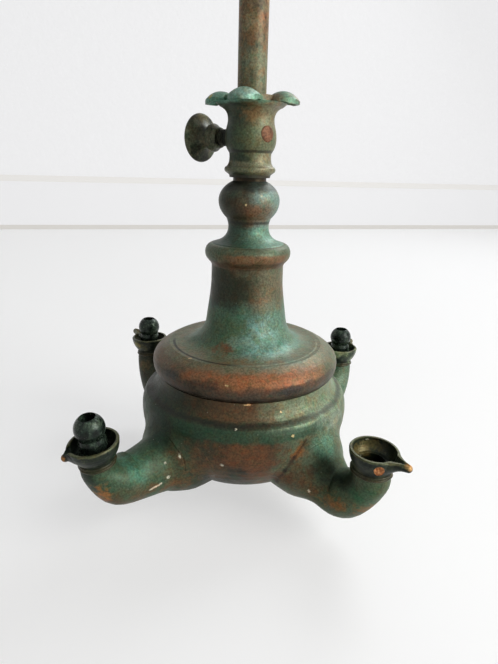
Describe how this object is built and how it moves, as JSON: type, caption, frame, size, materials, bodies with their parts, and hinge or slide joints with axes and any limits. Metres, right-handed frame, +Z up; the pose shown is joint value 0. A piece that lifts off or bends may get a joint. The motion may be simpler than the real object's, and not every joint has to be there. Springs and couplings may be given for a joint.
{
  "type": "oil lamp",
  "caption": "Oil lamp with a bell-shaped lid on a round bowl, curved arms ending in wick burners, and a petalled collar that slides on a rod and is clamped by a thumb screw.",
  "frame": {"origin": "centre of the lower end of the rod, at the end of its tenon", "axes": "+Z up along the rod, -Y towards the front with two arms on the front diagonals, +X to the right"},
  "size_m": [0.1141, 0.1148, 0.2847],
  "materials": {
    "rod_bronze": "satin",
    "collar_bronze": "satin patina",
    "bush_brass": "satin",
    "copper": "satin",
    "dark_bronze": "satin patina",
    "knop_bronze": "satin patina",
    "lid_bronze": "satin patina",
    "bowl_bronze": "satin patina",
    "arm_bronze": "satin patina",
    "cup_bronze": "satin patina"
  },
  "bodies": {
    "stand_rod": {"rod": "rod_bronze", "finial": "rod_bronze", "handle_ring": "rod_bronze"},
    "sliding_collar": {"collar": "collar_bronze", "collar_bush": "bush_brass", "collar_plug": "copper"},
    "screw_stem": {"thumb_screw_stem": "dark_bronze"},
    "screw_knob": {"thumb_screw_knob": "dark_bronze"},
    "lamp": {"guide_tube": "bush_brass", "knop": "knop_bronze", "bell_lid": "lid_bronze", "bowl": "bowl_bronze", "arm_front_left": "arm_bronze", "arm_front_right": "arm_bronze", "arm_back_right": "arm_bronze", "arm_back_left": "arm_bronze", "cup_front_left": "cup_bronze", "cup_front_right": "cup_bronze", "cup_back_right": "cup_bronze", "cup_back_left": "cup_bronze", "cup_plug": "copper"},
    "front_left_nozzle": {"nozzle_front_left": "dark_bronze"},
    "back_right_nozzle": {"nozzle_back_right": "dark_bronze"},
    "back_left_nozzle": {"nozzle_back_left": "dark_bronze"}
  },
  "joints": [
    {"name": "lamp_height", "type": "slide", "parent": "stand_rod", "child": "sliding_collar", "axis": [0, 0, 1], "range_m": [0, 0.075]},
    {"name": "lamp_swivel", "type": "hinge", "parent": "sliding_collar", "child": "lamp", "pos_m": [0, 0, 0.1346], "axis": [0, 0, 1], "continuous": true},
    {"name": "screw_travel", "type": "slide", "parent": "sliding_collar", "child": "screw_stem", "axis": [-0.7986, 0.6018, 0], "range_m": [0, 0.0017]},
    {"name": "knob_turn", "type": "hinge", "parent": "screw_stem", "child": "screw_knob", "pos_m": [-0.01917, 0.01444, 0.1391], "axis": [-0.7986, 0.6018, 0], "range_deg": [0, 720]},
    {"name": "front_left_nozzle_lift", "type": "slide", "parent": "lamp", "child": "front_left_nozzle", "axis": [-0.0984, -0.0984, 0.9903], "range_m": [0, 0.02]},
    {"name": "back_right_nozzle_lift", "type": "slide", "parent": "lamp", "child": "back_right_nozzle", "axis": [0, 0, 1], "range_m": [0, 0.02]},
    {"name": "back_left_nozzle_lift", "type": "slide", "parent": "lamp", "child": "back_left_nozzle", "axis": [-0.0123, 0.0123, 0.9998], "range_m": [0, 0.02]}
  ],
  "couplings": [
    {"joint": "screw_travel", "follows": "knob_turn", "m_per_rad": 0.00012732}
  ]
}
